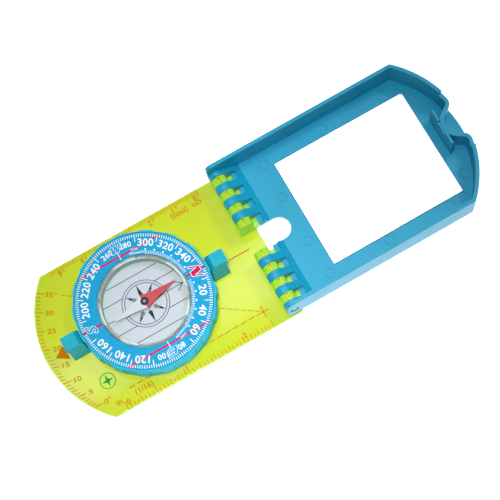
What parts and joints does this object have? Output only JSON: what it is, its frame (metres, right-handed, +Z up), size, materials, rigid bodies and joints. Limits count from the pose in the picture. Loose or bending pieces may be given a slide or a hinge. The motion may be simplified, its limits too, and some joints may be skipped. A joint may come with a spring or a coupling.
{
  "type": "sighting compass",
  "caption": "Mirror sighting compass: clear base plate with rulers, turning azimuth dial with a liquid capsule and needle, and a hinged cover with mirror and sighting notch.",
  "frame": {"origin": "under the middle of the hinge line, level with the underside of the base plate, with the cover open flat", "axes": "+X along the compass from the dial to the open cover, +Y toward the centimetre edge of the base plate, +Z up out of the dial's face"},
  "size_m": [0.1838, 0.0636, 0.0209],
  "materials": {
    "lime_clear": "transparent moulded acrylic, fluorescent yellow-green, polished",
    "blue_gloss": "moulded plastic, soft gloss",
    "blue_matte": "moulded ABS, fine satin",
    "scale_print": "printed plastic plate, satin",
    "brass": "drawn brass rod",
    "mirror": "silvered, polished",
    "tape": "double-sided foam tape",
    "clear": "clear moulded acrylic, polished",
    "seal": "pale sealing ring",
    "card": "printed pale card",
    "steel": "plain steel",
    "red": "red lacquered sheet",
    "white": "white lacquered sheet",
    "dark": "dark moulded cap",
    "jewel": "polished bearing cup"
  },
  "bodies": {
    "base": {"base_plate": "lime_clear", "index_block_front": "blue_gloss", "index_block_rear": "blue_gloss", "hinge_pin_left": "brass", "hinge_pin_right": "brass"},
    "cover": {"cover_shell": "blue_matte", "mirror_tape": "tape", "mirror": "mirror"},
    "dial": {"dial_ring": "blue_gloss", "dial_scale_plate": "scale_print", "capsule_cup": "clear", "capsule_seal": "seal", "capsule_lens": "clear", "rose_card": "card", "pivot_pin": "steel"},
    "needle": {"needle_north_leaf": "red", "needle_south_leaf": "white", "needle_magnet": "steel", "needle_cap": "dark", "jewel_cup": "jewel"}
  },
  "joints": [
    {"name": "cover_hinge", "type": "hinge", "parent": "base", "child": "cover", "pos_m": [0, 0, 0.0116], "axis": [0, -1, 0], "range_deg": [0, 180]},
    {"name": "dial_turn", "type": "hinge", "parent": "base", "child": "dial", "pos_m": [-0.04775, 0, 0.0075], "axis": [0, 0, 1], "continuous": true},
    {"name": "needle_swing", "type": "hinge", "parent": "dial", "child": "needle", "pos_m": [-0.04775, 0, 0.011], "axis": [0, 0, 1], "continuous": true}
  ]
}
